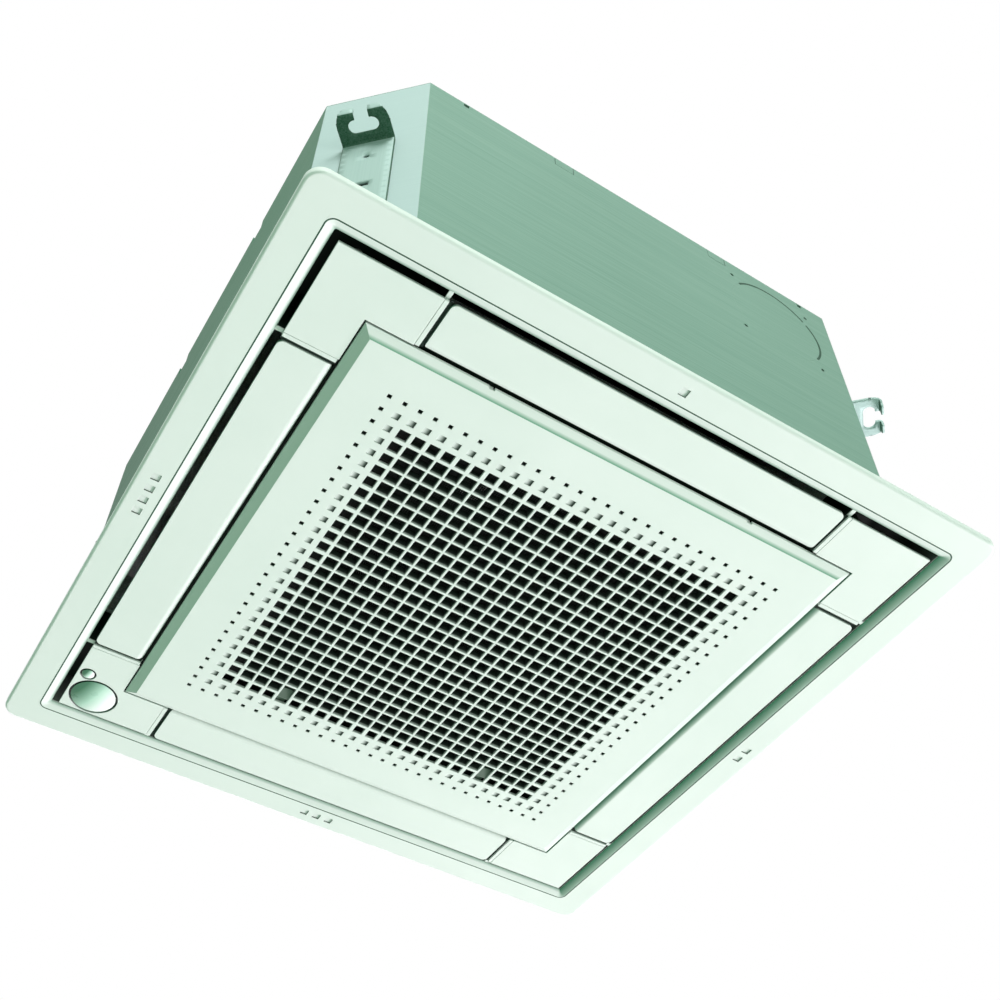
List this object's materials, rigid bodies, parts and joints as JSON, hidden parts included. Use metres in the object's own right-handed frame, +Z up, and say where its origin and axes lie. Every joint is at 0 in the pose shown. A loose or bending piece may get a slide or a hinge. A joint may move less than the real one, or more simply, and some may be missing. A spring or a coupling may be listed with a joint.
{
  "type": "ceiling cassette air conditioner",
  "caption": "Square ceiling cassette air conditioner with a flush panel, louvres on all sides, a hinged perforated suction grille and corner hanging hooks on its casing.",
  "frame": {"origin": "centre of the square panel, on the plane of the flange's upper face, which lies on the ceiling's lower face", "axes": "+Z up into the ceiling, +X towards the wall that the pipes leave by, +Y towards the wall with the drain socket, -Y towards the wall with the round knock-out"},
  "size_m": [0.6565, 0.6355, 0.3075],
  "materials": {
    "sheet": "galvanised sheet, fine brushed",
    "foam": "moulded bead foam",
    "rubber": "matt",
    "grey_plastic": "matt moulded",
    "motor_paint": "matt black",
    "fins": "thin fins",
    "copper": "drawn tube",
    "brass": "turned",
    "pump_plastic": "matt moulded",
    "dark_plastic": "matt moulded",
    "board": "printed circuit board",
    "panel_plastic": "satin moulded",
    "lens_plastic": "gloss moulded",
    "steel": "zinc plated"
  },
  "bodies": {
    "casing": {"top_plate": "sheet", "front_wall": "sheet", "right_wall": "sheet", "back_wall": "sheet", "left_wall": "sheet", "knockout_disc": "sheet", "hanger_near_left": "sheet", "hanger_near_right": "sheet", "hanger_far_right": "sheet", "hanger_far_left": "sheet", "foam_liner": "foam", "drain_pan": "foam", "panel_seal": "rubber", "bell_mouth": "grey_plastic", "fan_motor": "motor_paint", "motor_mounts": "rubber", "coil_fins": "fins", "coil_end_plates": "sheet", "coil_bends": "copper", "gas_header": "copper", "liquid_header": "copper", "pipe_nuts": "brass", "pipe_plate": "sheet", "partition": "sheet", "drain_pump": "pump_plastic", "drain_hose": "rubber", "drain_socket": "dark_plastic", "float_stem": "pump_plastic", "control_box": "sheet", "control_cover": "sheet", "circuit_board": "board", "cable_gland": "rubber", "panel_frame": "panel_plastic", "louvre_motors": "dark_plastic", "louvre_bushes": "dark_plastic", "cover_near_left": "panel_plastic", "cover_near_right": "panel_plastic", "cover_far_right": "panel_plastic", "cover_far_left": "panel_plastic", "sensor_dome": "lens_plastic", "sensor_pip": "lens_plastic", "panel_screws": "steel", "casing_screws": "steel"},
    "fan": {"fan": "grey_plastic", "fan_shaft": "steel", "fan_nut": "steel"},
    "impeller": {"pump_impeller": "pump_plastic"},
    "float": {"float": "foam"},
    "louvre_near": {"louvre_near": "panel_plastic"},
    "louvre_right": {"louvre_right": "panel_plastic"},
    "louvre_far": {"louvre_far": "panel_plastic"},
    "louvre_left": {"louvre_left": "panel_plastic"},
    "grille": {"suction_grille": "panel_plastic", "hinge_pins": "steel", "filter_frame": "dark_plastic", "filter_net": "dark_plastic"},
    "latch_left": {"latch_left": "panel_plastic"},
    "latch_right": {"latch_right": "panel_plastic"}
  },
  "joints": [
    {"name": "fan_spin", "type": "hinge", "parent": "casing", "child": "fan", "pos_m": [0, 0, 0.2], "axis": [0, 0, 1], "continuous": true},
    {"name": "pump_spin", "type": "hinge", "parent": "casing", "child": "impeller", "pos_m": [0.224, 0.224, 0.08], "axis": [0, 0, 1], "continuous": true},
    {"name": "float_lift", "type": "slide", "parent": "casing", "child": "float", "axis": [0, 0, 1], "range_m": [0, 0.008]},
    {"name": "louvre_near_tilt", "type": "hinge", "parent": "casing", "child": "louvre_near", "pos_m": [0, -0.233, 0], "axis": [1, 0, 0], "range_deg": [0, 50]},
    {"name": "louvre_right_tilt", "type": "hinge", "parent": "casing", "child": "louvre_right", "pos_m": [0.233, 0, 0], "axis": [0, 1, 0], "range_deg": [0, 50]},
    {"name": "louvre_far_tilt", "type": "hinge", "parent": "casing", "child": "louvre_far", "pos_m": [0, 0.233, 0], "axis": [-1, 0, 0], "range_deg": [0, 50]},
    {"name": "louvre_left_tilt", "type": "hinge", "parent": "casing", "child": "louvre_left", "pos_m": [-0.233, 0, 0], "axis": [0, -1, 0], "range_deg": [0, 50]},
    {"name": "grille_drop", "type": "hinge", "parent": "casing", "child": "grille", "pos_m": [0, -0.2205, -0.0045], "axis": [-1, 0, 0], "range_deg": [0, 90]},
    {"name": "latch_left_slide", "type": "slide", "parent": "grille", "child": "latch_left", "axis": [0, -1, 0], "range_m": [0, 0.006], "stiffness_N_per_m": 150},
    {"name": "latch_right_slide", "type": "slide", "parent": "grille", "child": "latch_right", "axis": [0, -1, 0], "range_m": [0, 0.006], "stiffness_N_per_m": 150}
  ]
}
